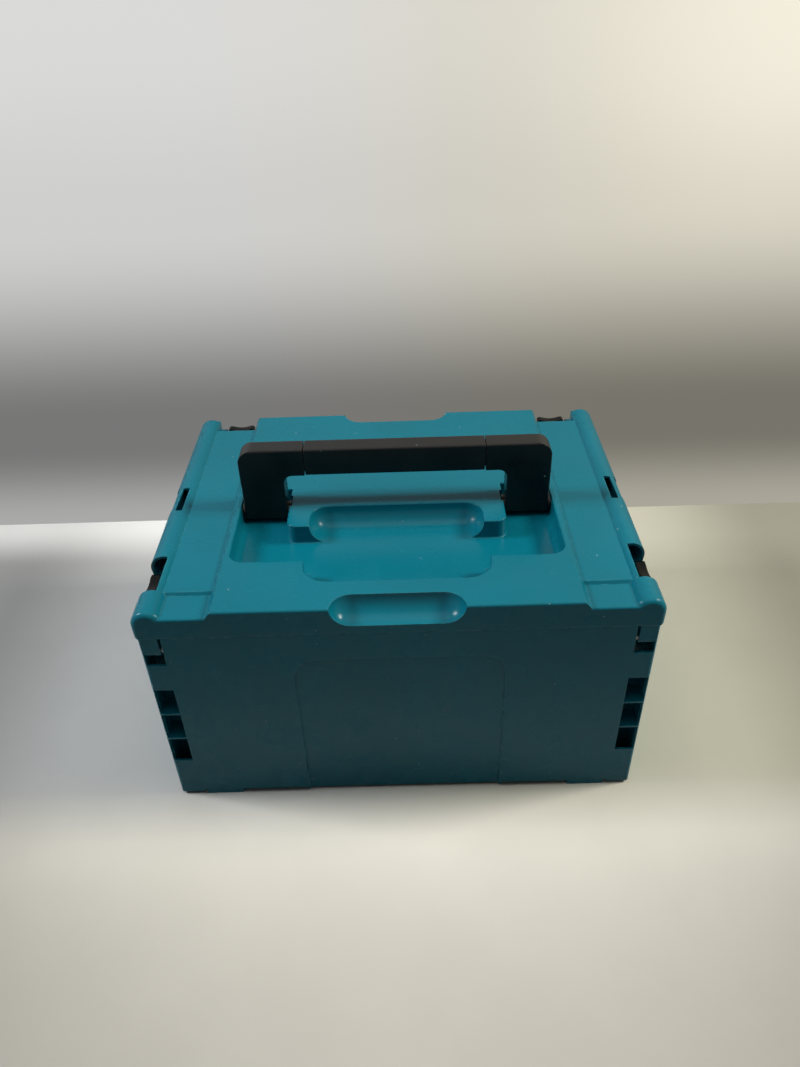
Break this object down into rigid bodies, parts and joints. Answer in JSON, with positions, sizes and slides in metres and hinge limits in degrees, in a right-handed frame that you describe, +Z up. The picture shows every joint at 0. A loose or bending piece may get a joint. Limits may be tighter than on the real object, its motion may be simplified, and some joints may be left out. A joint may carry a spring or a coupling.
{
  "type": "hard tool case",
  "caption": "Hard tool case with hinged lid, lever latches at the front and sides, folding carry handle in a lid well, and side rails and feet for stacking.",
  "frame": {"origin": "centre of the footprint, on the surface the feet stand on", "axes": "+X to the case's right along its length, +Y to the front face with the two front latches, +Z up; the lid hinges along -Y"},
  "size_m": [0.395, 0.295, 0.2657],
  "materials": {
    "shell_plastic": "semi-gloss moulded, fine texture",
    "handle_plastic": "satin moulded",
    "grip_rubber": "satin",
    "latch_plastic": "gloss moulded",
    "pin_steel": "bright"
  },
  "bodies": {
    "box": {"box_shell": "shell_plastic", "hinge_pin_left": "pin_steel", "hinge_pin_right": "pin_steel", "latch_pin_front_left": "pin_steel", "latch_pin_front_right": "pin_steel", "latch_pin_side_left": "pin_steel", "latch_pin_side_right": "pin_steel"},
    "lid": {"lid_shell": "shell_plastic", "handle_pin_left": "pin_steel", "handle_pin_right": "pin_steel"},
    "handle": {"handle_frame": "handle_plastic", "handle_grip": "grip_rubber"},
    "front_left_latch": {"latch_front_left": "latch_plastic"},
    "front_right_latch": {"latch_front_right": "latch_plastic"},
    "side_left_latch": {"latch_side_left": "latch_plastic"},
    "side_right_latch": {"latch_side_right": "latch_plastic"}
  },
  "joints": [
    {"name": "lid_hinge", "type": "hinge", "parent": "box", "child": "lid", "pos_m": [0, -0.1423, 0.17], "axis": [1, 0, 0], "range_deg": [0, 110]},
    {"name": "handle_pivot", "type": "hinge", "parent": "lid", "child": "handle", "pos_m": [0, -0.0052, 0.2022], "axis": [1, 0, 0], "range_deg": [0, 90]},
    {"name": "front_left_latch_pivot", "type": "hinge", "parent": "box", "child": "front_left_latch", "pos_m": [-0.1565, 0.13897, 0.1211], "axis": [-1, 0, 0], "range_deg": [-2.5, 105]},
    {"name": "front_right_latch_pivot", "type": "hinge", "parent": "box", "child": "front_right_latch", "pos_m": [0.1565, 0.13897, 0.1211], "axis": [-1, 0, 0], "range_deg": [-2.5, 105]},
    {"name": "side_left_latch_pivot", "type": "hinge", "parent": "box", "child": "side_left_latch", "pos_m": [-0.18897, -0.0935, 0.1145], "axis": [0, -1, 0], "range_deg": [-2.5, 105]},
    {"name": "side_right_latch_pivot", "type": "hinge", "parent": "box", "child": "side_right_latch", "pos_m": [0.18897, -0.0935, 0.1145], "axis": [0, 1, 0], "range_deg": [-2.5, 105]}
  ]
}
